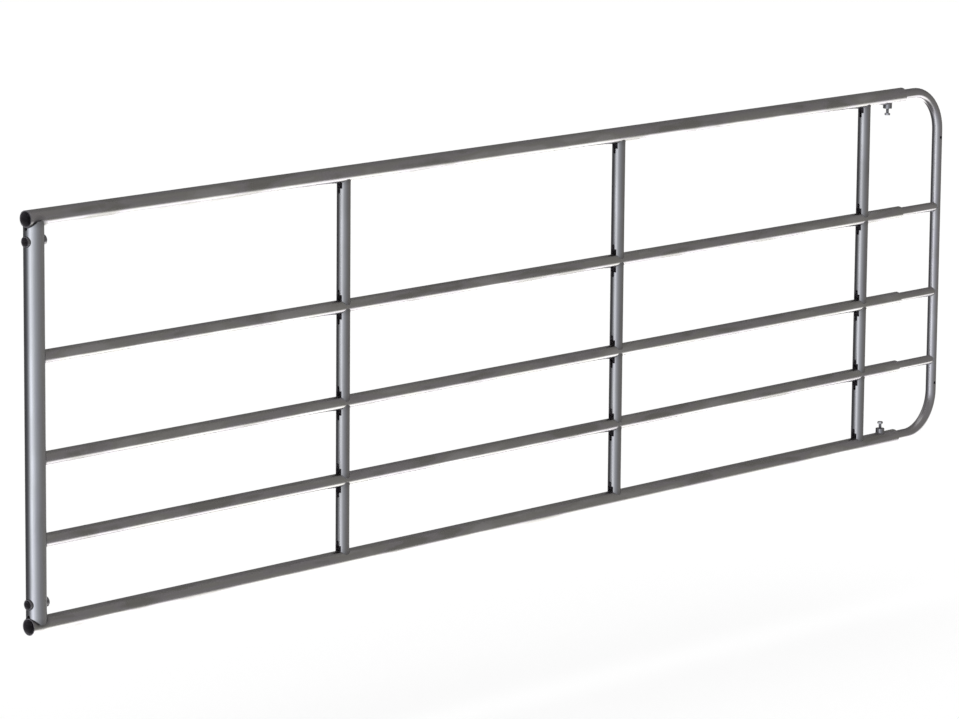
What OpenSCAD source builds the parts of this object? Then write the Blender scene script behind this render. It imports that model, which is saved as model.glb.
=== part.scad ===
// Adjustable tubular field gate: a welded frame of round steel tube, hung at its
// left upright, with a lighter sliding frame that telescopes out of the right ends
// of the rails and is held by two clamp screws.
// The origin is the middle of the lower hinge sleeve. +X runs along the gate from the
// hinges to the latch, +Y goes from the front to the back, +Z is up. Millimetres.

/* [Overall layout] */
// Distance between uprights, centre to centre
upright_pitch = 1000; // [600:10:1400]
// Number of uprights between the hinge upright and the rail ends
upright_count = 3; // [1:1:5]
// Length of rail past the last upright
rail_tail = 160; // [135:5:400]
// Clear height between the bottom rail and the lower rail
bottom_gap = 158; // [100:1:300]
// Clear height between the lower and the middle rail
lower_gap = 157; // [100:1:300]
// Clear height between the middle and the upper rail
upper_gap = 202; // [100:1:400]
// Clear height between the upper rail and the top rail
top_gap = 285; // [180:1:450]

/* [Tubes] */
// Outside diameter of the hinge upright
hinge_post_od = 48.3; // [42:0.1:60]
// Wall of the hinge upright
hinge_post_wall = 2.9; // [2:0.1:4]
// Outside diameter of the top and bottom rails
frame_od = 40; // [38:0.5:46]
// Wall of the top and bottom rails
frame_wall = 2.5; // [2:0.1:3.2]
// Outside diameter of the three inner rails and of the uprights between rails
rail_od = 33.7; // [32:0.1:36]
// Wall of the three inner rails and of the uprights between rails
rail_wall = 2.6; // [2:0.1:3.2]
// Gap left at a welded seat
weld_gap = 0.2; // [0.1:0.05:0.4]
// Distance that a saddled tube end stops short of the middle of its rail
lip_setback = 5; // [4:0.5:8]

/* [Hinge sleeves] */
// Bore of a hinge sleeve, for the shank of an eye bolt
sleeve_bore = 21; // [16:0.5:26]
// Wall of a hinge sleeve
sleeve_wall = 2; // [1.5:0.1:4]
// Height of a hinge sleeve's axis from the axis of the nearest rail
hinge_inset = 52; // [46:1:70]
// Length of sleeve that stands out on the post side
sleeve_post_side = 3; // [1:0.5:12]
// Length of sleeve that stands out on the gate side
sleeve_gate_side = 5.5; // [1:0.5:20]

/* [Vent notches] */
// Width of the wide mouth of a vent notch, next to the rail
vent_mouth_width = 18; // [12:1:22]
// Height of the wide mouth
vent_mouth_height = 13; // [6:1:16]
// Width of the slot above the mouth
vent_slot_width = 8; // [5:0.5:11]
// Height of the whole notch, measured from the rail
vent_height = 26; // [20:1:40]
// Width of the small notch at each end of the hinge upright
hinge_vent_width = 9; // [5:0.5:14]
// Height of the small notch at each end of the hinge upright
hinge_vent_height = 7; // [5:0.5:12]

/* [Sliding frame] */
// Radial room round the bow in the top and bottom rails
bow_room = 3.5; // [0.5:0.25:6]
// Wall of the bow
bow_wall = 2; // [1.5:0.1:3]
// Radial room round the three sliding bars in their rails
bar_room = 1.75; // [0.5:0.25:4]
// Wall of the sliding bars
bar_wall = 2; // [1.5:0.1:3]
// Distance from the rail ends to the middle of the end upright
slide_reach = 162; // [125:1:400]
// Bend radius of the bow, to the middle of the tube
bend_radius = 110; // [80:1:128]
// Length of bow and bars inside the rails
slide_insertion = 1100; // [400:10:2400]
// Diameter of a latch hole in the end upright
latch_hole = 9; // [6:0.5:14]
// Height of a latch hole past the end of the nearest bend
latch_past_bend = 20; // [10:1:40]

/* [Clamps] */
// Distance of the clamp screws past the last upright
clamp_offset = 100; // [50:1:120]
// Diameter of a clamp boss
boss_d = 24; // [20:0.5:30]
// Height of a clamp boss below the rail's lowest line
boss_height = 11; // [8:0.5:18]
// Diameter of a clamp screw
screw_d = 8; // [6:0.5:10]
// Length of a clamp screw under its head
screw_length = 30; // [25:1:45]
// Width across flats of the screw's hex head
head_flats = 13; // [10:1:17]
// Height of the screw's head
head_height = 5.3; // [4:0.1:8]
// Chamfer on the head's corners and at the screw's tip
screw_chamfer = 1; // [0.4:0.1:1.5]
// Radial room round a clamp screw in its boss
screw_room = 0.1; // [0.05:0.01:0.2]
// Radial room round a clamp screw in the rail
rail_screw_room = 1; // [0.3:0.1:3]
// Distance from the screw's tip to the bow
tip_gap = 0.3; // [0.1:0.05:1]

/* [Hidden] */
$fn = 96;
// Extra length of a cutter past the face that it opens
cut_past = 1;

// Diameters that follow from what a tube or hole fits
bow_od = frame_od - 2 * (frame_wall + bow_room);
bar_od = rail_od - 2 * (rail_wall + bar_room);
sleeve_od = sleeve_bore + 2 * sleeve_wall;
rail_screw_hole = screw_d + 2 * rail_screw_room;
// The hinge upright's saddles are cut with a tool of its own diameter, or of the rail's where that is larger
saddle_tool = max(hinge_post_od, frame_od);

// Rail heights, from the hinge origin
z_bottom = -hinge_inset;
z_lower = z_bottom + frame_od / 2 + bottom_gap + rail_od / 2;
z_middle = z_lower + rail_od + lower_gap;
z_upper = z_middle + rail_od + upper_gap;
z_top = z_upper + rail_od / 2 + top_gap + frame_od / 2;
z_upper_hinge = z_top - hinge_inset;
latch_inset = bend_radius + latch_past_bend;

// Places along the gate
x_face = hinge_post_od / 2;
x_rail_end = upright_count * upright_pitch + rail_tail;
x_clamp = upright_count * upright_pitch + clamp_offset;
x_end_upright = x_rail_end + slide_reach;
x_slide_start = x_rail_end - slide_insertion;

// The rails that bound the four pieces of an upright, each as height and diameter
rail_levels = [
    [z_bottom, frame_od],
    [z_lower, rail_od],
    [z_middle, rail_od],
    [z_upper, rail_od],
    [z_top, frame_od]];
piece_names = ["bottom_piece", "lower_piece", "upper_piece", "top_piece"];
last_piece = len(piece_names) - 1;
function upright_node(number, piece) = str("upright_", number, "_", piece_names[piece]);

// Ring of a tube's section
module tube_ring(od, wall) {
    difference() {
        circle(d = od);
        circle(d = od - 2 * wall);
    }
}

// Tube along Z from the origin
module tube_up(od, wall, length) {
    linear_extrude(length) tube_ring(od, wall);
}

// Tube along X from one place to another, at a height
module tube_along(od, wall, from_x, to_x, z) {
    translate([from_x, 0, z]) rotate([0, 90, 0]) tube_up(od, wall, to_x - from_x);
}

// Solid round bar along X, for cutting the saddle that seats on a rail
module rail_cutter(od, from_x, to_x, z) {
    translate([from_x, 0, z]) rotate([0, 90, 0]) cylinder(d = od + 2 * weld_gap, h = to_x - from_x);
}

// Round-ended slot outline, open below, up to the given height
module slot_outline(width, height, below) {
    translate([-width / 2, -below]) square([width, height - width / 2 + below]);
    translate([0, height - width / 2]) circle(d = width);
}

// Puts an outline in the plane across X and cuts it through the hinge-side wall only
module cut_hinge_side(x, z, od, up) {
    translate([x - od / 2 - cut_past, 0, z])
        mirror([0, 0, up ? 0 : 1])
            rotate([90, 0, 90]) linear_extrude(od / 2 + cut_past) children();
}

// Keyhole vent beside a rail: a wide mouth with a narrower round-ended slot
module vent_outline() {
    translate([-vent_mouth_width / 2, -rail_od / 2])
        square([vent_mouth_width, rail_od / 2 + vent_mouth_height]);
    slot_outline(vent_slot_width, vent_height, rail_od / 2);
}

// Moves to a place on a rail, with up turned to the side of the rail that faces into the gate
module turn_inward(x, z, inward) {
    translate([x, 0, z]) mirror([0, 0, inward > 0 ? 0 : 1]) children();
}

// Saddle of the hinge upright, seated on the rail's innermost line and a little open at its flanks
module hinge_saddle(z, inward) {
    turn_inward(0, z, inward)
        rail_cutter(saddle_tool, -hinge_post_od, hinge_post_od, (frame_od - saddle_tool) / 2);
}

module hinge_upright() {
    color("lightslategray") difference() {
        translate([0, 0, z_bottom + lip_setback])
            tube_up(hinge_post_od, hinge_post_wall, z_top - z_bottom - 2 * lip_setback);
        hinge_saddle(z_bottom, 1);
        hinge_saddle(z_top, -1);
        for (z = [0, z_upper_hinge])
            rail_cutter(sleeve_od, -hinge_post_od, hinge_post_od, z);
        cut_hinge_side(0, z_bottom + frame_od / 2, hinge_post_od, true)
            slot_outline(hinge_vent_width, hinge_vent_height, hinge_vent_height);
        cut_hinge_side(0, z_top - frame_od / 2, hinge_post_od, false)
            slot_outline(hinge_vent_width, hinge_vent_height, hinge_vent_height);
    }
}

// Sleeve through the hinge upright, welded at both walls
module hinge_sleeve(z) {
    color("slategray")
        tube_along(sleeve_od, sleeve_wall, -x_face - sleeve_post_side, x_face + sleeve_gate_side, z);
}

// Top or bottom rail: open at both ends, with a hole for the clamp screw on its inner side
module frame_rail(z, inward) {
    color("gray") difference() {
        tube_along(frame_od, frame_wall, -x_face, x_rail_end, z);
        turn_inward(x_clamp, z, inward) cylinder(d = rail_screw_hole, h = frame_od);
    }
}

// Inner rail: saddled on the hinge upright, open at the sliding end
module inner_rail(z) {
    color("gray") difference() {
        tube_along(rail_od, rail_wall, 0, x_rail_end, z);
        translate([0, 0, z - rail_od]) cylinder(d = hinge_post_od + 2 * weld_gap, h = 2 * rail_od);
    }
}

// One piece of an upright between two rails, saddled and vented at both ends
module upright_piece(x, below, above) {
    color("lightslategray") difference() {
        translate([x, 0, below[0] + lip_setback])
            tube_up(rail_od, rail_wall, above[0] - below[0] - 2 * lip_setback);
        for (level = [below, above])
            rail_cutter(level[1], x - rail_od, x + rail_od, level[0]);
        cut_hinge_side(x, below[0] + below[1] / 2, rail_od, true) vent_outline();
        cut_hinge_side(x, above[0] - above[1] / 2, rail_od, false) vent_outline();
    }
}

// Round boss welded to a rail's inner side, with a bore for the screw
module clamp_boss(z, inward) {
    color("dimgray") turn_inward(x_clamp, z, inward) difference() {
        cylinder(d = boss_d, h = frame_od / 2 + boss_height);
        rail_cutter(frame_od, -boss_d, boss_d, 0);
        cylinder(d = screw_d + 2 * screw_room, h = frame_od + boss_height);
    }
}

// Hex screw with its tip just off the bow
module clamp_screw(z, inward) {
    tip = bow_od / 2 + tip_gap;
    head_corners = head_flats / cos(30);
    color("darkgray") turn_inward(x_clamp, z, inward) {
        translate([0, 0, tip])
            cylinder(d1 = screw_d - 2 * screw_chamfer, d2 = screw_d, h = screw_chamfer);
        translate([0, 0, tip + screw_chamfer])
            cylinder(d = screw_d, h = screw_length - screw_chamfer);
        translate([0, 0, tip + screw_length]) intersection() {
            cylinder(d = head_corners, h = head_height, $fn = 6);
            union() {
                cylinder(d = head_corners + screw_chamfer, h = head_height - screw_chamfer);
                translate([0, 0, head_height - screw_chamfer])
                    cylinder(d1 = head_corners + screw_chamfer, d2 = head_flats, h = screw_chamfer);
            }
        }
    }
}

// Quarter bend of the bow, from +X towards +Z when up, or towards -Z when not
module bow_bend(z, up) {
    translate([x_end_upright - bend_radius, 0, z])
        mirror([0, 0, up ? 0 : 1])
            translate([0, 0, bend_radius]) rotate([90, 0, 0])
                rotate_extrude(angle = -90) translate([bend_radius, 0]) tube_ring(bow_od, bow_wall);
}

// One bent tube: two legs in the top and bottom rails and the end upright between them
module sliding_bow() {
    color("silver") difference() {
        union() {
            for (z = [z_bottom, z_top])
                tube_along(bow_od, bow_wall, x_slide_start, x_end_upright - bend_radius, z);
            bow_bend(z_bottom, true);
            bow_bend(z_top, false);
            translate([x_end_upright, 0, z_bottom + bend_radius])
                tube_up(bow_od, bow_wall, z_top - z_bottom - 2 * bend_radius);
        }
        for (z = [z_bottom + latch_inset, z_top - latch_inset])
            translate([x_end_upright, bow_od, z])
                rotate([90, 0, 0]) cylinder(d = latch_hole, h = 2 * bow_od);
    }
}

// Sliding bar, saddled on the end upright
module sliding_bar(z) {
    color("silver") difference() {
        tube_along(bar_od, bar_wall, x_slide_start, x_end_upright, z);
        translate([x_end_upright, 0, z - bar_od]) cylinder(d = bow_od + 2 * weld_gap, h = 2 * bar_od);
    }
}

hinge_upright();
hinge_sleeve(0);  // lower_hinge_sleeve
hinge_sleeve(z_upper_hinge);  // upper_hinge_sleeve
frame_rail(z_bottom, 1);  // bottom_rail
inner_rail(z_lower);  // lower_rail
inner_rail(z_middle);  // middle_rail
inner_rail(z_upper);  // upper_rail
frame_rail(z_top, -1);  // top_rail
for (number = [1 : upright_count], piece = [0 : last_piece])
    upright_piece(number * upright_pitch, rail_levels[piece], rail_levels[piece + 1]);
clamp_boss(z_top, -1);  // top_clamp_boss
clamp_boss(z_bottom, 1);  // bottom_clamp_boss
clamp_screw(z_top, -1);  // top_clamp_screw
clamp_screw(z_bottom, 1);  // bottom_clamp_screw
sliding_bow();
sliding_bar(z_lower);  // lower_sliding_bar
sliding_bar(z_middle);  // middle_sliding_bar
sliding_bar(z_upper);  // upper_sliding_bar
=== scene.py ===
import math
import bmesh
import bpy
from mathutils import Matrix, Vector


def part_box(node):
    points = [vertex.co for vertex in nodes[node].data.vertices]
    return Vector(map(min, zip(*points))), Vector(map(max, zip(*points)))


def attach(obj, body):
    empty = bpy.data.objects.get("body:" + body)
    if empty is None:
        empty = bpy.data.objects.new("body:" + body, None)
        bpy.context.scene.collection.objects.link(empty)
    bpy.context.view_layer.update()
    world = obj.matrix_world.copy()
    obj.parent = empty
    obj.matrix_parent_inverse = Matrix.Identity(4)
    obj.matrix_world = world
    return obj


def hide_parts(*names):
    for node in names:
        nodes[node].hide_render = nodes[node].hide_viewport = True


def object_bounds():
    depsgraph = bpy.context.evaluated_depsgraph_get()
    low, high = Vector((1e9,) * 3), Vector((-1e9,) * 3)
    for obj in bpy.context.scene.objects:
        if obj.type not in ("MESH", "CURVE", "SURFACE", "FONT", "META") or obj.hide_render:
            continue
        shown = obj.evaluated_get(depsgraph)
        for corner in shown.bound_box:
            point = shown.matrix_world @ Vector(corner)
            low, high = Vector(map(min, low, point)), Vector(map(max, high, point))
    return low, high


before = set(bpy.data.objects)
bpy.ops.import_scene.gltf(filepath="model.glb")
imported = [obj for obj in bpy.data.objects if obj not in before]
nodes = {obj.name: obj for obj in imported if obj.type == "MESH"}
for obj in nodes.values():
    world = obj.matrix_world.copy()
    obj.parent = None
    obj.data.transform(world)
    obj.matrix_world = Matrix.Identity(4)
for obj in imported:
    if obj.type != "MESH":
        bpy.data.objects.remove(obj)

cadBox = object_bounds()
scene = bpy.context.scene
scene.view_settings.view_transform = "Standard"
mm = 0.001
mergeGap = 0.01 * mm
white = (1, 1, 1, 1)


# camera, solved from the edges of the tubes
camera = {
    "place": (-7.5253, -8.3353, 2.6206),
    "yaw": 47.229,         # degrees, from +Y towards +X
    "pitch": 10.360,       # degrees down
    "roll": 0.504,
    "lens": 188.30,
    "farthest": 200,
}


def makeCamera(view):
    yaw, pitch, roll = (math.radians(view[key]) for key in ("yaw", "pitch", "roll"))
    forward = Vector((math.sin(yaw) * math.cos(pitch), math.cos(yaw) * math.cos(pitch), -math.sin(pitch)))
    right = Vector((math.cos(yaw), -math.sin(yaw), 0))
    up = right.cross(forward)
    tiltedRight = right * math.cos(roll) + up * math.sin(roll)
    tiltedUp = up * math.cos(roll) - right * math.sin(roll)
    data = bpy.data.cameras.new("camera")
    data.lens = view["lens"]
    data.clip_end = view["farthest"]
    obj = bpy.data.objects.new("camera", data)
    turn = Matrix((tiltedRight, tiltedUp, -forward)).transposed().to_4x4()
    obj.matrix_world = Matrix.Translation(view["place"]) @ turn
    scene.collection.objects.link(obj)
    scene.camera = obj


makeCamera(camera)
print("camera: lens", camera["lens"])


# small helpers for node trees and meshes
def addNode(tree, kind, settings=None, inputs=None):
    made = tree.nodes.new(kind)
    for key, value in (settings or {}).items():
        setattr(made, key, value)
    for key, value in (inputs or {}).items():
        if isinstance(value, bpy.types.NodeSocket):
            tree.links.new(value, made.inputs[key])
        else:
            made.inputs[key].default_value = value
    return made


def mathNode(tree, operation, first, second=0.0):
    return addNode(tree, "ShaderNodeMath", {"operation": operation}, {0: first, 1: second}).outputs[0]


def vectorNode(tree, operation, first, second=(0, 0, 0)):
    made = addNode(tree, "ShaderNodeVectorMath", {"operation": operation}, {0: first, 1: second})
    return made.outputs["Value" if operation in ("LENGTH", "DOT_PRODUCT") else "Vector"]


def rangeNode(tree, value, low, high, outLow=0.0, outHigh=1.0):
    return addNode(tree, "ShaderNodeMapRange", inputs={
        "Value": value, "From Min": low, "From Max": high, "To Min": outLow, "To Max": outHigh}).outputs[0]


def mixColour(tree, factor, first, second, blend="MIX"):
    settings = {"data_type": "RGBA", "blend_type": blend}
    return addNode(tree, "ShaderNodeMix", settings, {0: factor, 6: first, 7: second}).outputs[2]


def mixNumber(tree, factor, first, second):
    return addNode(tree, "ShaderNodeMix", {"data_type": "FLOAT"}, {0: factor, 2: first, 3: second}).outputs[0]


def mixShader(tree, factor, first, second):
    return addNode(tree, "ShaderNodeMixShader", inputs={0: factor, 1: first, 2: second}).outputs[0]


def glowShader(tree, colour, strength=1.0):
    return addNode(tree, "ShaderNodeEmission", inputs={"Color": colour, "Strength": strength}).outputs[0]


def rampNode(tree, factor, stops):
    made = addNode(tree, "ShaderNodeValToRGB", inputs={"Fac": factor})
    ramp = made.color_ramp
    while len(ramp.elements) < len(stops):
        ramp.elements.new(0.5)
    for element, (position, colour) in zip(ramp.elements, sorted(stops)):
        element.position = position
        element.color = (*colour, 1)
    return made.outputs["Color"]


def emptyMaterial(name):
    material = bpy.data.materials.new(name)
    material.use_nodes = True
    material.node_tree.nodes.clear()
    return material, material.node_tree


def meshObject(name, bm, material, smoothAngle=35):
    bmesh.ops.recalc_face_normals(bm, faces=bm.faces)
    mesh = bpy.data.meshes.new(name)
    bm.to_mesh(mesh)
    bm.free()
    mesh.materials.append(material)
    mesh.shade_smooth()
    mesh.set_sharp_from_angle(angle=math.radians(smoothAngle))
    obj = bpy.data.objects.new(name, mesh)
    scene.collection.objects.link(obj)
    return obj


# studio: white floor and surroundings, grey walls that only the metal reflects
studio = {
    "floorDrop": 0.45,     # floor below the bottom rail
    "floorHalf": 70.0,
    "floorTone": (0.88, 0.88, 0.88),
    "floorGrain": 3.0,     # scale and depth of the paper's faint mottling
    "floorMottle": 0.005,
    "floorWash": 0.6,      # how far the camera sees the paper as plain white, which lightens the shadow
    "roomLight": 0.72,
    "sunLight": 1.45,
    "sunSpread": 80.0,
    "floorGlow": 0.82,     # what the lit floor adds to the white that the metal sees below
    "dimTone": (0.30, 0.30, 0.30),   # what the metal sees below by way of other metal
    "dimDepth": 1.5,       # between the first reflection and the second
    "wallRadius": 60.0,
    "wallSegments": (64, 48),
    "wallEdge": 0.16,      # softness of the walls' lower edge
    "groundTone": (0.165, 0.165, 0.170),
    "groundTop": -50.0,    # degrees below level where the dark ground starts to show
    "groundFull": -68.0,
    "ceilingFoot": -4.0,   # and where the grey ceiling takes over from the walls
    "ceilingFull": 20.0,
    "skyTone": (0.48, 0.48, 0.49),
    "skyFoot": 64.0,       # skylight straight above
    "skyFull": 76.0,
    # degrees round from +X, seen from above, with the wall's tone there and how far down it reaches
    "walls": [
        (-180, (1.06, 1.11, 1.18), -70),
        (-172, (1.20, 1.25, 1.33), -66),
        (-165, (1.18, 1.23, 1.31), -62),
        (-136, (0.67, 0.70, 0.75), -58),
        (-123, (0.51, 0.53, 0.57), -58),
        (-110, (0.42, 0.44, 0.47), -58),
        (-80, (0.28, 0.285, 0.295), -58),
        (-63, (0.245, 0.245, 0.25), -58),
        (-41, (0.22, 0.217, 0.21), -38),
        (-24, (0.21, 0.205, 0.197), -27),
        (0, (0.195, 0.19, 0.182), -22),
        (40, (0.182, 0.178, 0.172), -12),
        (46, (0.174, 0.171, 0.167), -26),
        (52, (0.164, 0.162, 0.16), -52),
        (72, (0.118, 0.118, 0.12), -68),
        (104, (0.075, 0.076, 0.08), -72),
        (129, (0.098, 0.10, 0.107), -72),
        (144, (0.18, 0.186, 0.198), -72),
        (160, (0.38, 0.395, 0.42), -72),
        (173, (0.82, 0.86, 0.92), -72),
        (180, (1.06, 1.11, 1.18), -70),
    ],
    # the same way round, with the ceiling's tone
    "ceiling": [
        (-180, (0.215, 0.212, 0.212)),
        (-70, (0.22, 0.216, 0.215)),
        (-36, (0.205, 0.20, 0.196)),
        (-12, (0.162, 0.159, 0.157)),
        (8, (0.125, 0.123, 0.123)),
        (60, (0.125, 0.123, 0.123)),
        (74, (0.25, 0.248, 0.249)),
        (90, (0.30, 0.298, 0.30)),
        (106, (0.25, 0.248, 0.249)),
        (120, (0.155, 0.153, 0.154)),
        (150, (0.195, 0.193, 0.194)),
        (180, (0.215, 0.212, 0.212)),
    ],
}


def makeRoom(room):
    world = bpy.data.worlds.new("room")
    scene.world = world
    world.use_nodes = True
    tree = world.node_tree
    tree.nodes.clear()
    path = addNode(tree, "ShaderNodeLightPath").outputs
    seen = mathNode(tree, "MAXIMUM", path["Is Camera Ray"], path["Is Glossy Ray"])
    seen = mathNode(tree, "MAXIMUM", seen, path["Is Transmission Ray"])
    light = addNode(tree, "ShaderNodeBackground", inputs={"Color": white, "Strength": room["roomLight"]})
    plain = addNode(tree, "ShaderNodeBackground", inputs={"Color": white, "Strength": 1.0})
    mix = mixShader(tree, seen, light.outputs[0], plain.outputs[0])
    addNode(tree, "ShaderNodeOutputWorld", inputs={"Surface": mix})


def makeFloor(room):
    material, tree = emptyMaterial("floorPaper")
    place = addNode(tree, "ShaderNodeTexCoord").outputs["Object"]
    grain = addNode(tree, "ShaderNodeTexNoise", inputs={"Vector": place, "Scale": room["floorGrain"]})
    darker = tuple(tone - room["floorMottle"] for tone in room["floorTone"])
    tone = rampNode(tree, grain.outputs["Fac"], [(0.0, darker), (1.0, room["floorTone"])])
    paper = addNode(tree, "ShaderNodeBsdfDiffuse", inputs={"Color": tone}).outputs[0]
    path = addNode(tree, "ShaderNodeLightPath").outputs
    washed = mathNode(tree, "MULTIPLY", path["Is Camera Ray"], room["floorWash"])
    mix = mixShader(tree, washed, paper, glowShader(tree, white))
    addNode(tree, "ShaderNodeOutputMaterial", inputs={"Surface": mix})
    bm = bmesh.new()
    floorPlace = Matrix.Translation((0, 0, cadBox[0].z - room["floorDrop"]))
    bmesh.ops.create_grid(bm, x_segments=1, y_segments=1, size=room["floorHalf"], matrix=floorPlace)
    floor = meshObject("floor", bm, material)
    floor.visible_glossy = False   # metal sees the white room below instead


def turnPart(angle):
    # place of an angle on the radial gradient
    return angle / 360 + 0.5


def heightAt(angle):
    # height on a ball of radius 1, that many degrees above level
    return math.sin(math.radians(angle))


def makeWalls(room):
    # a ball, clear below so that the metal shows the white room and the glow of the lit floor
    material, tree = emptyMaterial("wallPaint")
    place = addNode(tree, "ShaderNodeTexCoord").outputs["Object"]
    radial = addNode(tree, "ShaderNodeTexGradient", {"gradient_type": "RADIAL"}, {"Vector": place})
    turn = radial.outputs["Fac"]
    level = addNode(tree, "ShaderNodeSeparateXYZ", inputs={"Vector": place}).outputs["Z"]
    rise = mathNode(tree, "DIVIDE", level, room["wallRadius"])

    def between(low, high):
        return rangeNode(tree, rise, heightAt(room[low]), heightAt(room[high]))

    tones = [(turnPart(angle), tone) for angle, tone, foot in room["walls"]]
    depths = [(turnPart(angle), (heightAt(-foot),) * 3) for angle, tone, foot in room["walls"]]
    ceiling = [(turnPart(angle), tone) for angle, tone in room["ceiling"]]
    tone = rampNode(tree, turn, tones)
    tone = mixColour(tree, between("ceilingFoot", "ceilingFull"), tone, rampNode(tree, turn, ceiling))
    tone = mixColour(tree, between("skyFoot", "skyFull"), tone, (*room["skyTone"], 1))

    # below the walls: the white room, or a dim one where the metal is itself seen in metal
    clear = addNode(tree, "ShaderNodeBsdfTransparent").outputs[0]
    glow = glowShader(tree, white, room["floorGlow"])
    below = addNode(tree, "ShaderNodeAddShader", inputs={0: clear, 1: glow}).outputs[0]
    path = addNode(tree, "ShaderNodeLightPath").outputs
    again = mathNode(tree, "GREATER_THAN", path["Glossy Depth"], room["dimDepth"])
    below = mixShader(tree, again, below, glowShader(tree, (*room["dimTone"], 1)))
    height = mathNode(tree, "ADD", rise, rampNode(tree, turn, depths))
    shown = rangeNode(tree, height, -room["wallEdge"], room["wallEdge"])
    mix = mixShader(tree, shown, below, glowShader(tree, tone))
    ground = glowShader(tree, (*room["groundTone"], 1))
    mix = mixShader(tree, between("groundFull", "groundTop"), ground, mix)
    addNode(tree, "ShaderNodeOutputMaterial", inputs={"Surface": mix})

    bm = bmesh.new()
    across, upwards = room["wallSegments"]
    bmesh.ops.create_uvsphere(bm, u_segments=across, v_segments=upwards, radius=room["wallRadius"])
    walls = meshObject("walls", bm, material)
    for kind in ("camera", "diffuse", "transmission", "shadow", "volume_scatter"):
        setattr(walls, "visible_" + kind, False)


def makeSoftLight(room):
    data = bpy.data.lights.new("softLight", "SUN")   # points straight down
    data.energy = room["sunLight"]
    data.angle = math.radians(room["sunSpread"])
    scene.collection.objects.link(bpy.data.objects.new("softLight", data))


makeRoom(studio)
makeFloor(studio)
makeWalls(studio)
makeSoftLight(studio)
print("studio: floor", studio["floorDrop"], "m below the gate")


# zinc finishes: tone, colour cast, streaks along the tube and spangle cells
zinc = {
    "rails": {"tone": 0.645, "cast": (1.0, 0.99, 0.99), "contrast": 0.21, "hue": 0.6, "roughness": 0.23,
              "spangle": 70, "grain": (6, 30, 30)},
    "uprights": {"tone": 0.545, "cast": (1.0, 0.985, 1.0), "contrast": 0.08, "hue": 0.2, "roughness": 0.21,
                 "spangle": 70, "grain": (45, 45, 6)},
    "post": {"tone": 0.645, "cast": (1.0, 1.0, 1.03), "contrast": 0.08, "hue": 0.2, "roughness": 0.21,
             "spangle": 60, "grain": (40, 40, 6)},
    "bow": {"tone": 0.635, "cast": (1.0, 0.975, 1.0), "contrast": 0.06, "hue": 0.3, "roughness": 0.20,
            "spangle": 80, "grain": (14, 14, 14)},
    "bars": {"tone": 0.645, "cast": (1.0, 0.98, 0.99), "contrast": 0.12, "hue": 0.5, "roughness": 0.23,
             "spangle": 80, "grain": (9, 60, 60)},
    "sleeves": {"tone": 0.36, "cast": (1.0, 0.98, 1.01), "contrast": 0.20, "hue": 0.2, "roughness": 0.34,
                "spangle": 110, "grain": (30, 90, 90)},
    "bosses": {"tone": 0.42, "cast": (1.0, 0.98, 1.01), "contrast": 0.12, "hue": 0.2, "roughness": 0.15,
               "spangle": 160, "grain": (90, 90, 40)},
    "screws": {"tone": 0.47, "cast": (1.0, 0.98, 1.01), "contrast": 0.12, "hue": 0.2, "roughness": 0.17,
               "spangle": 260, "grain": (200, 200, 120)},
    "welds": {"tone": 0.36, "cast": (1.0, 0.98, 1.01), "contrast": 0.22, "hue": 0.3, "roughness": 0.40,
              "spangle": 300, "grain": (160, 160, 160)},
    # nearly black weld beads: painted shade of the gap along the hinge upright's saddles, used on the hinge
    # sleeves' beads too
    "shadedWeld": {"tone": 0.15, "cast": (1.0, 0.98, 1.01), "contrast": 0.35, "hue": 0.3, "roughness": 0.45,
              "spangle": 300, "grain": (160, 160, 160)},
}

# painted shade darkening the zinc towards an upright's welded ends where it meets the rails, painted shade
# darkening and roughening a rail round the hinge upright's welded seat, and bores with sawn ends
endShade = {"shade": 0.72, "fade": 16 * mm}
seatShade = {"shade": 0.42, "roughness": 0.5, "full": 24 * mm, "none": 36 * mm}
inside = {"tone": (0.49, 0.465, 0.495), "roughness": 0.6, "under": 0.45 * mm, "blend": 0.25 * mm}

# what all the finishes share
coat = {
    # place in the mottling, shade and tint from olive to purple
    "mottling": [
        (0.34, -1, (0.02, 0.00, -0.08)),
        (0.44, 0, (0.03, -0.03, 0.05)),
        (0.54, 0, (0.02, 0.01, -0.07)),
        (0.66, 1, (0.01, -0.01, 0.00)),
    ],
    "streakDetail": 1.5,
    "spangleShare": 0.03,     # of the mottling, the rest is streaks
    "roughFrom": 0.3,         # darker mottling is rougher
    "roughTo": 0.7,
    "roughMore": 0.05,
    "roughLess": 0.04,
    "fineScale": 1500.0,      # fine unevenness
    "fineDetail": 2.0,
    "fineBump": 0.5,          # its share of the bump's height, and the spangle's
    "spangleBump": 0.2,
    "bumpStrength": 0.10,
    "bumpHeight": 0.008 * mm,
}


def tubeReach(tree, place, tube):
    # distance from the tube's middle line, straight or bent twice like the bow
    offset = vectorNode(tree, "SUBTRACT", place, tube["centre"])
    if "bendRadius" not in tube:
        return vectorNode(tree, "LENGTH", vectorNode(tree, "MULTIPLY", offset, tube["across"]))
    parts = addNode(tree, "ShaderNodeSeparateXYZ", inputs={"Vector": offset}).outputs
    along = mathNode(tree, "MAXIMUM", parts["X"])
    rise = mathNode(tree, "SUBTRACT", mathNode(tree, "ABSOLUTE", parts["Z"]), tube["straight"])
    rise = mathNode(tree, "MAXIMUM", rise)
    corner = addNode(tree, "ShaderNodeCombineXYZ", inputs={0: along, 1: rise}).outputs[0]
    away = mathNode(tree, "SUBTRACT", vectorNode(tree, "LENGTH", corner), tube["bendRadius"])
    section = addNode(tree, "ShaderNodeCombineXYZ", inputs={0: away, 1: parts["Y"]}).outputs[0]
    return vectorNode(tree, "LENGTH", section)


def mottleColours(finish):
    stops = []
    for position, shade, tints in coat["mottling"]:
        level = finish["tone"] * (1 + finish["contrast"] * shade)
        colour = [level * cast * (1 + finish["hue"] * tint) for cast, tint in zip(finish["cast"], tints)]
        stops.append((position, tuple(colour)))
    return stops


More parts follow.
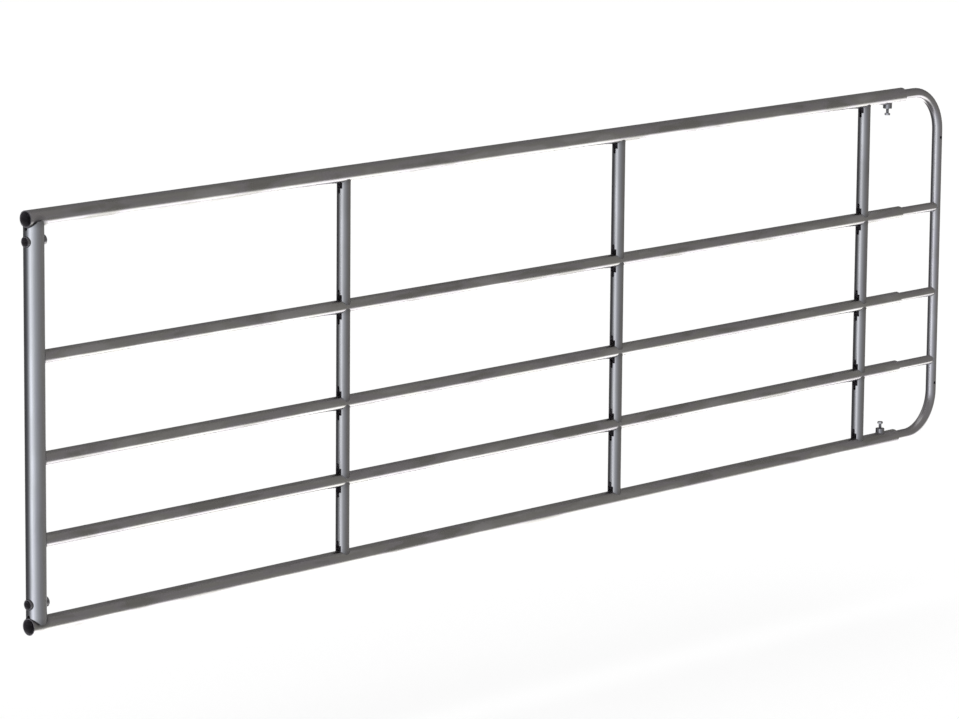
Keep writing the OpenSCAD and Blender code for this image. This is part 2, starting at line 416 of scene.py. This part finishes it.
def darken(tree, near, tone, shade):
    return mixColour(tree, near, tone, (shade, shade, shade, 1), "MULTIPLY")


def zincMaterial(name, finish, tube=None):
    material, tree = emptyMaterial(name)
    place = addNode(tree, "ShaderNodeTexCoord").outputs["Object"]
    along = addNode(tree, "ShaderNodeMapping", inputs={"Vector": place, "Scale": finish["grain"]}).outputs[0]
    streaks = addNode(tree, "ShaderNodeTexNoise", inputs={
        "Vector": along, "Scale": 1.0, "Detail": coat["streakDetail"]}).outputs["Fac"]
    cells = addNode(tree, "ShaderNodeTexVoronoi", inputs={"Vector": place, "Scale": finish["spangle"]})
    cell = addNode(tree, "ShaderNodeSeparateColor", inputs={"Color": cells.outputs["Color"]}).outputs["Red"]
    fine = addNode(tree, "ShaderNodeTexNoise", inputs={
        "Vector": place, "Scale": coat["fineScale"], "Detail": coat["fineDetail"]}).outputs["Fac"]
    mottle = mixNumber(tree, coat["spangleShare"], streaks, cell)
    tone = rampNode(tree, mottle, mottleColours(finish))
    rough = rangeNode(tree, mottle, coat["roughFrom"], coat["roughTo"],
                      finish["roughness"] + coat["roughMore"], finish["roughness"] - coat["roughLess"])
    # painted shade: the tone darkens towards the tube's ends, where it meets the rails
    if tube and "ends" in tube:
        offset = vectorNode(tree, "SUBTRACT", place, tube["centre"])
        reach = mathNode(tree, "ABSOLUTE", vectorNode(tree, "DOT_PRODUCT", offset, tube["along"]))
        near = rangeNode(tree, reach, tube["ends"] - endShade["fade"], tube["ends"])
        tone = darken(tree, near, tone, endShade["shade"])
    # painted shade: darker and rougher zinc round the hinge upright's seat on the rail
    if tube and "shadedSeat" in tube:
        away = vectorNode(tree, "LENGTH", vectorNode(tree, "SUBTRACT", place, tube["shadedSeat"]))
        near = rangeNode(tree, away, seatShade["none"], seatShade["full"])
        tone = darken(tree, near, tone, seatShade["shade"])
        rough = mixNumber(tree, near, rough, seatShade["roughness"])
    if tube:
        edge = tube["radius"] - inside["under"]
        outer = rangeNode(tree, tubeReach(tree, place, tube), edge, edge + inside["blend"])
        tone = mixColour(tree, outer, (*inside["tone"], 1), tone)
        rough = mixNumber(tree, outer, inside["roughness"], rough)
    height = mathNode(tree, "ADD", mathNode(tree, "MULTIPLY", fine, coat["fineBump"]),
                      mathNode(tree, "MULTIPLY", cell, coat["spangleBump"]))
    bump = addNode(tree, "ShaderNodeBump", inputs={
        "Height": height, "Strength": coat["bumpStrength"], "Distance": coat["bumpHeight"]})
    steel = addNode(tree, "ShaderNodeBsdfPrincipled", inputs={
        "Base Color": tone, "Metallic": 1.0, "Roughness": rough, "Normal": bump.outputs[0]})
    addNode(tree, "ShaderNodeOutputMaterial", inputs={"Surface": steel.outputs[0]})
    return material


def middle(node):
    low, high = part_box(node)
    return (low + high) / 2


def radiusOf(node, axis):
    low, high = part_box(node)
    return (high.z - low.z) / 2 if axis == "x" else (high.x - low.x) / 2


def levelTube(node):
    return {"centre": tuple(middle(node)), "across": (0, 1, 1), "radius": radiusOf(node, "x")}


def uprightTube(node):
    low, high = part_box(node)
    return {"centre": tuple(middle(node)), "across": (1, 1, 0), "radius": radiusOf(node, "z"),
            "along": (0, 0, 1), "ends": (high.z - low.z) / 2}


def dressNode(node, finishName, tube=None):
    nodes[node].material_slots[0].material = zincMaterial(node + "Zinc", zinc[finishName], tube)


frameRails = ("bottom_rail", "top_rail")
innerRails = ("lower_rail", "middle_rail", "upper_rail")
sleeves = ("lower_hinge_sleeve", "upper_hinge_sleeve")
bosses = ("top_clamp_boss", "bottom_clamp_boss")
slidingBars = ("lower_sliding_bar", "middle_sliding_bar", "upper_sliding_bar")
bow = {"bendRadius": 110 * mm}
bowLow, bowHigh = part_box("sliding_bow")
bow["radius"] = (bowHigh.y - bowLow.y) / 2
bow["upright"] = bowHigh.x - bow["radius"]
bow["straight"] = (bowHigh.z - bowLow.z) / 2 - bow["radius"] - bow["bendRadius"]
bow["centre"] = (bow["upright"] - bow["bendRadius"], 0, middle("sliding_bow").z)

dressNode("hinge_upright", "post", uprightTube("hinge_upright"))
for node in sleeves:
    dressNode(node, "sleeves", levelTube(node))
for node, side in zip(frameRails, (1, -1)):
    # the point where the hinge upright sits on the rail, round which shade is painted
    seat = (0, 0, middle(node).z + side * radiusOf(node, "x"))
    dressNode(node, "rails", {**levelTube(node), "shadedSeat": seat})
for node in innerRails:
    dressNode(node, "rails", levelTube(node))
for node in [name for name in nodes if name.startswith("upright_")]:
    dressNode(node, "uprights", uprightTube(node))
for node in bosses:
    dressNode(node, "bosses")
dressNode("sliding_bow", "bow", bow)
for node in slidingBars:
    dressNode(node, "bars", levelTube(node))
print("finishes:", len(nodes) - 2, "nodes dressed")


# weld beads along the seams, in ripples about as long as the bead is wide
bead = {
    "radius": 1.3 * mm,
    "postRadius": 1.6 * mm,
    "smallRadius": 1.1 * mm,
    "ripple": 2.2 * mm,    # length of one ripple
    "depth": 0.14,         # how much thinner the bead is between ripples
    "lip": 5.0 * mm,       # tube ends stop this far from the middle of the rail
    "mouth": 9.5 * mm,     # half width of the vent mouth, where there is no bead
    "postMouth": 5.5 * mm,
    "seatGap": 0.2 * mm,
    "postSink": 0.6 * mm,  # how far the hinge upright's beads sit inside its outline
    "sideWidth": 0.5,      # share of its width that a bead keeps on an upright's flanks
    "bevelSteps": 2,
    "arcSteps": 36,        # points for each radian of an open seam
    "railSteps": 160,      # and round a closed one
    "bossSteps": 120,
    "smoothAngle": 60,
}


def uprightSeam(centre, radius, railHeight, saddle, drop, side, span):
    # along the saddle at an upright's end, between two angles from +X
    points = []
    first, last = span
    count = math.ceil(abs(last - first) * bead["arcSteps"])
    for step in range(count + 1):
        angle = first + (last - first) * step / count
        across = radius * math.sin(angle)
        rise = max(math.sqrt(max(saddle ** 2 - across ** 2, 0)) - drop, bead["lip"])
        width = bead["sideWidth"] + (1 - bead["sideWidth"]) * abs(math.cos(angle))
        points.append((Vector((centre + radius * math.cos(angle), across, railHeight + side * rise)), width))
    return points


def railSeam(height, radius, centre, postRadius, side):
    # round a level tube's end where it meets an upright
    points = []
    for step in range(bead["railSteps"]):
        angle = 2 * math.pi * step / bead["railSteps"]
        across = radius * math.cos(angle)
        reach = math.sqrt(max(postRadius ** 2 - across ** 2, 0))
        points.append((Vector((centre + side * reach, across, height + radius * math.sin(angle))), 1.0))
    return points


def bossSeam(centre, radius, railHeight, railRadius, side):
    # round a boss where it stands on a rail
    points = []
    for step in range(bead["bossSteps"]):
        angle = 2 * math.pi * step / bead["bossSteps"]
        across = radius * math.sin(angle)
        rise = math.sqrt(railRadius ** 2 - across ** 2)
        points.append((Vector((centre + radius * math.cos(angle), across, railHeight + side * rise)), 1.0))
    return points


def makeBeads(name, seams, radius, material, body):
    curve = bpy.data.curves.new(name, "CURVE")
    curve.dimensions = "3D"
    curve.bevel_depth = radius
    curve.bevel_resolution = bead["bevelSteps"]
    curve.use_fill_caps = True
    for points, closed in seams:
        spline = curve.splines.new("POLY")
        spline.points.add(len(points) - 1)
        spline.use_cyclic_u = closed
        travel = 0
        for number, (place, width) in enumerate(points):
            if number:
                travel += (place - points[number - 1][0]).length
            wave = (travel / bead["ripple"]) % 1.0
            spline.points[number].co = (*place, 1)
            spline.points[number].radius = width * (1 - bead["depth"] * wave)
    drawn = bpy.data.objects.new(name + "Path", curve)
    scene.collection.objects.link(drawn)
    bpy.context.view_layer.update()
    mesh = bpy.data.meshes.new_from_object(drawn.evaluated_get(bpy.context.evaluated_depsgraph_get()))
    bpy.data.objects.remove(drawn)
    bm = bmesh.new()
    bm.from_mesh(mesh)
    bpy.data.meshes.remove(mesh)
    bmesh.ops.remove_doubles(bm, verts=bm.verts, dist=mergeGap)
    obj = meshObject(name, bm, material, bead["smoothAngle"])
    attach(obj, body)


weldZinc = zincMaterial("weldZinc", zinc["welds"])
# the nearly black weld finish paints the shade of the gap beside the hinge upright's saddles
burntZinc = zincMaterial("burntZinc", zinc["shadedWeld"])
levels = ("bottom_rail", "lower_rail", "middle_rail", "upper_rail", "top_rail")
pieces = ("bottom_piece", "lower_piece", "upper_piece", "top_piece")
for number in (1, 2, 3):
    seams = []
    upright = radiusOf(f"upright_{number}_top_piece", "z")
    reach = math.pi - math.asin(bead["mouth"] / upright)
    for index, piece in enumerate(pieces):
        centre = middle(f"upright_{number}_{piece}").x
        for rail, side in ((levels[index], 1), (levels[index + 1], -1)):
            seam = uprightSeam(centre, upright, middle(rail).z, radiusOf(rail, "x"), 0, side, (-reach, reach))
            seams.append((seam, False))
    makeBeads(f"upright_{number}_welds", seams, bead["radius"], weldZinc, "gate_frame")

# the hinge upright's saddles are as wide as itself, and have no bead along their flat lips
post = radiusOf("hinge_upright", "z")
saddle = post + bead["seatGap"]
mouthEdge = math.pi - math.asin(bead["postMouth"] / post)
seams = []
for rail, side in zip(frameRails, (1, -1)):
    drop = post - radiusOf(rail, "x")
    lipStart = math.asin(math.sqrt(saddle ** 2 - (bead["lip"] + drop) ** 2) / post)
    spans = ((-mouthEdge, lipStart - math.pi), (-lipStart, lipStart), (math.pi - lipStart, mouthEdge))
    for span in spans:
        seam = uprightSeam(0, post - bead["postSink"], middle(rail).z, saddle, drop, side, span)
        seams.append((seam, False))
# these beads carry painted shade of the gap along the saddles
makeBeads("hinge_upright_welds", seams, bead["postRadius"], burntZinc, "gate_frame")

seams = [(railSeam(middle(rail).z, radiusOf(rail, "x"), 0, post, 1), True) for rail in innerRails]
makeBeads("inner_rail_welds", seams, bead["radius"], weldZinc, "gate_frame")
seams = [(railSeam(middle(sleeve).z, radiusOf(sleeve, "x"), 0, post, side), True)
         for sleeve in sleeves for side in (-1, 1)]
makeBeads("hinge_sleeve_welds", seams, bead["smallRadius"], burntZinc, "gate_frame")
seams = [(bossSeam(middle(boss).x, radiusOf(boss, "z"), middle(rail).z, radiusOf(rail, "x"), side), True)
         for boss, rail, side in zip(bosses, ("top_rail", "bottom_rail"), (-1, 1))]
makeBeads("clamp_boss_welds", seams, bead["smallRadius"], weldZinc, "gate_frame")
seams = [(railSeam(middle(bar).z, radiusOf(bar, "x"), bow["upright"], bow["radius"], -1), True)
         for bar in slidingBars]
makeBeads("sliding_bar_welds", seams, bead["smallRadius"], weldZinc, "sliding_frame")
print("welds: beads on the gate frame and the sliding frame")


# clamp screws with a real thread, in place of the plain ones
screw = {
    "radius": 4.0 * mm,
    "core": 3.3 * mm,
    "pitch": 1.25 * mm,
    "flats": 13.0 * mm,
    "headHeight": 5.3 * mm,
    "headSlope": math.atan2(1.0, 1.5),   # of the chamfer on the head's corners
    "headSink": 0.2 * mm,  # how far the thread runs into the head
    "tipChamfer": 0.8 * mm,
    "tipSlope": math.pi / 4,
    "steps": 40,           # round one turn of thread
    "chamferCuts": 24,
    "smoothAngle": 30,
}


def everything(bm):
    return bm.verts[:] + bm.edges[:] + bm.faces[:]


def cutOff(bm, place, normal):
    # removes what lies beyond a plane and closes the cut
    cut = bmesh.ops.bisect_plane(bm, geom=everything(bm), plane_co=place, plane_no=normal, clear_outer=True)
    edges = [part for part in cut["geom_cut"] if isinstance(part, bmesh.types.BMEdge) and part.is_boundary]
    if edges:
        bmesh.ops.holes_fill(bm, edges=edges, sides=0)


def coneCuts(bm, radius, height, slope):
    # chamfers the end of a turned part with a ring of flat cuts
    for step in range(screw["chamferCuts"]):
        angle = 2 * math.pi * step / screw["chamferCuts"]
        out = Vector((math.cos(angle), math.sin(angle), 0))
        normal = out * math.sin(slope) + Vector((0, 0, math.cos(slope)))
        cutOff(bm, out * radius + Vector((0, 0, height)), normal)


def makeHead():
    # hexagon from z = 0 up, with its lower corners turned off
    head = bmesh.new()
    corner = screw["flats"] / math.sqrt(3)
    bmesh.ops.create_cone(head, cap_ends=True, segments=6, radius1=corner, radius2=corner,
                          depth=screw["headHeight"], matrix=Matrix.Rotation(math.pi / 6, 4, "Z"))
    coneCuts(head, screw["flats"] / 2, screw["headHeight"] / 2, screw["headSlope"])
    flipped = Matrix.Translation((0, 0, screw["headHeight"] / 2)) @ Matrix.Scale(-1, 4, (0, 0, 1))
    bmesh.ops.transform(head, matrix=flipped, verts=head.verts)
    mesh = bpy.data.meshes.new("screwHead")
    head.to_mesh(mesh)
    head.free()
    return mesh


def makeThread(length):
    # thread above the head: an outline, turned once while it climbs by its pitch
    bm = bmesh.new()
    # shares of the pitch, and the radius there
    profile = ((0.05, screw["core"]), (0.40, screw["radius"]), (0.60, screw["radius"]), (0.95, screw["core"]))
    turns = math.ceil(length / screw["pitch"]) + 2   # enough to be cut off at both ends
    outline = []
    for turn in range(turns):
        start = screw["headHeight"] + (turn - 1.5) * screw["pitch"]   # the first lies inside the head
        for rise, radius in profile:
            outline.append(bm.verts.new((radius, 0, start + rise * screw["pitch"])))
    edges = [bm.edges.new(pair) for pair in zip(outline, outline[1:])]
    bmesh.ops.spin(bm, geom=outline + edges, cent=(0, 0, 0), axis=(0, 0, 1), angle=2 * math.pi,
                   dvec=(0, 0, screw["pitch"] / screw["steps"]), steps=screw["steps"], use_merge=False)
    bmesh.ops.remove_doubles(bm, verts=bm.verts, dist=mergeGap)
    tip = screw["headHeight"] + length
    cutOff(bm, (0, 0, screw["headHeight"] - screw["headSink"]), (0, 0, -1))
    cutOff(bm, (0, 0, tip), (0, 0, 1))
    coneCuts(bm, screw["radius"] - screw["tipChamfer"], tip, screw["tipSlope"])
    return bm


def makeScrew(name, node, body, tipUp, material):
    low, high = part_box(node)
    bm = makeThread(high.z - low.z - screw["headHeight"])
    head = makeHead()
    bm.from_mesh(head)
    bpy.data.meshes.remove(head)
    if tipUp:
        place = Matrix.Translation((middle(node).x, 0, low.z))
    else:
        place = Matrix.Translation((middle(node).x, 0, high.z)) @ Matrix.Rotation(math.pi, 4, "X")
    bmesh.ops.transform(bm, matrix=place, verts=bm.verts)
    obj = meshObject(name, bm, material, screw["smoothAngle"])
    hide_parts(node)
    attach(obj, body)


screwZinc = zincMaterial("screwZinc", zinc["screws"])
makeScrew("top_threaded_screw", "top_clamp_screw", "top_screw", True, screwZinc)
makeScrew("bottom_threaded_screw", "bottom_clamp_screw", "bottom_screw", False, screwZinc)
print("screws: two, pitch", screw["pitch"] / mm, "mm")
